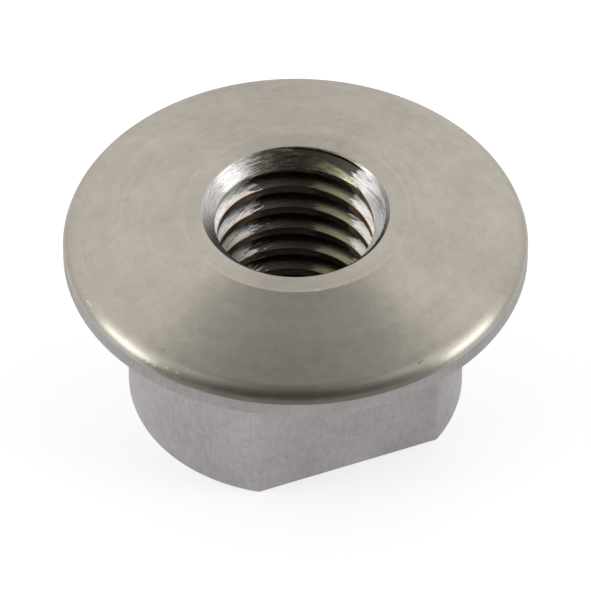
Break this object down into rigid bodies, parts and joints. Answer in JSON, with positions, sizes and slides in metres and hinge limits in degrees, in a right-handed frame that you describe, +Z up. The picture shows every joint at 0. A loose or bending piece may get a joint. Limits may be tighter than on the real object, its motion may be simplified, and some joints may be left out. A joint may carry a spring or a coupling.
{
  "type": "flanged spacer nut",
  "caption": "Turned spacer nut: a crowned round flange with a flat ring round a countersunk threaded hole, over a round boss with two parallel spanner flats.",
  "frame": {"origin": "centre of the boss's end face, which the nut stands on", "axes": "+Z up the thread, from the boss's end face to the flat ring on the flange; +Y square to the two spanner flats; +X along the flats"},
  "size_m": [0.02, 0.02, 0.01],
  "materials": {
    "turned_steel": "bare stainless steel, finely turned on the flange and dull on the boss"
  },
  "bodies": {
    "root": {"spacer_nut": "turned_steel"}
  },
  "joints": []
}
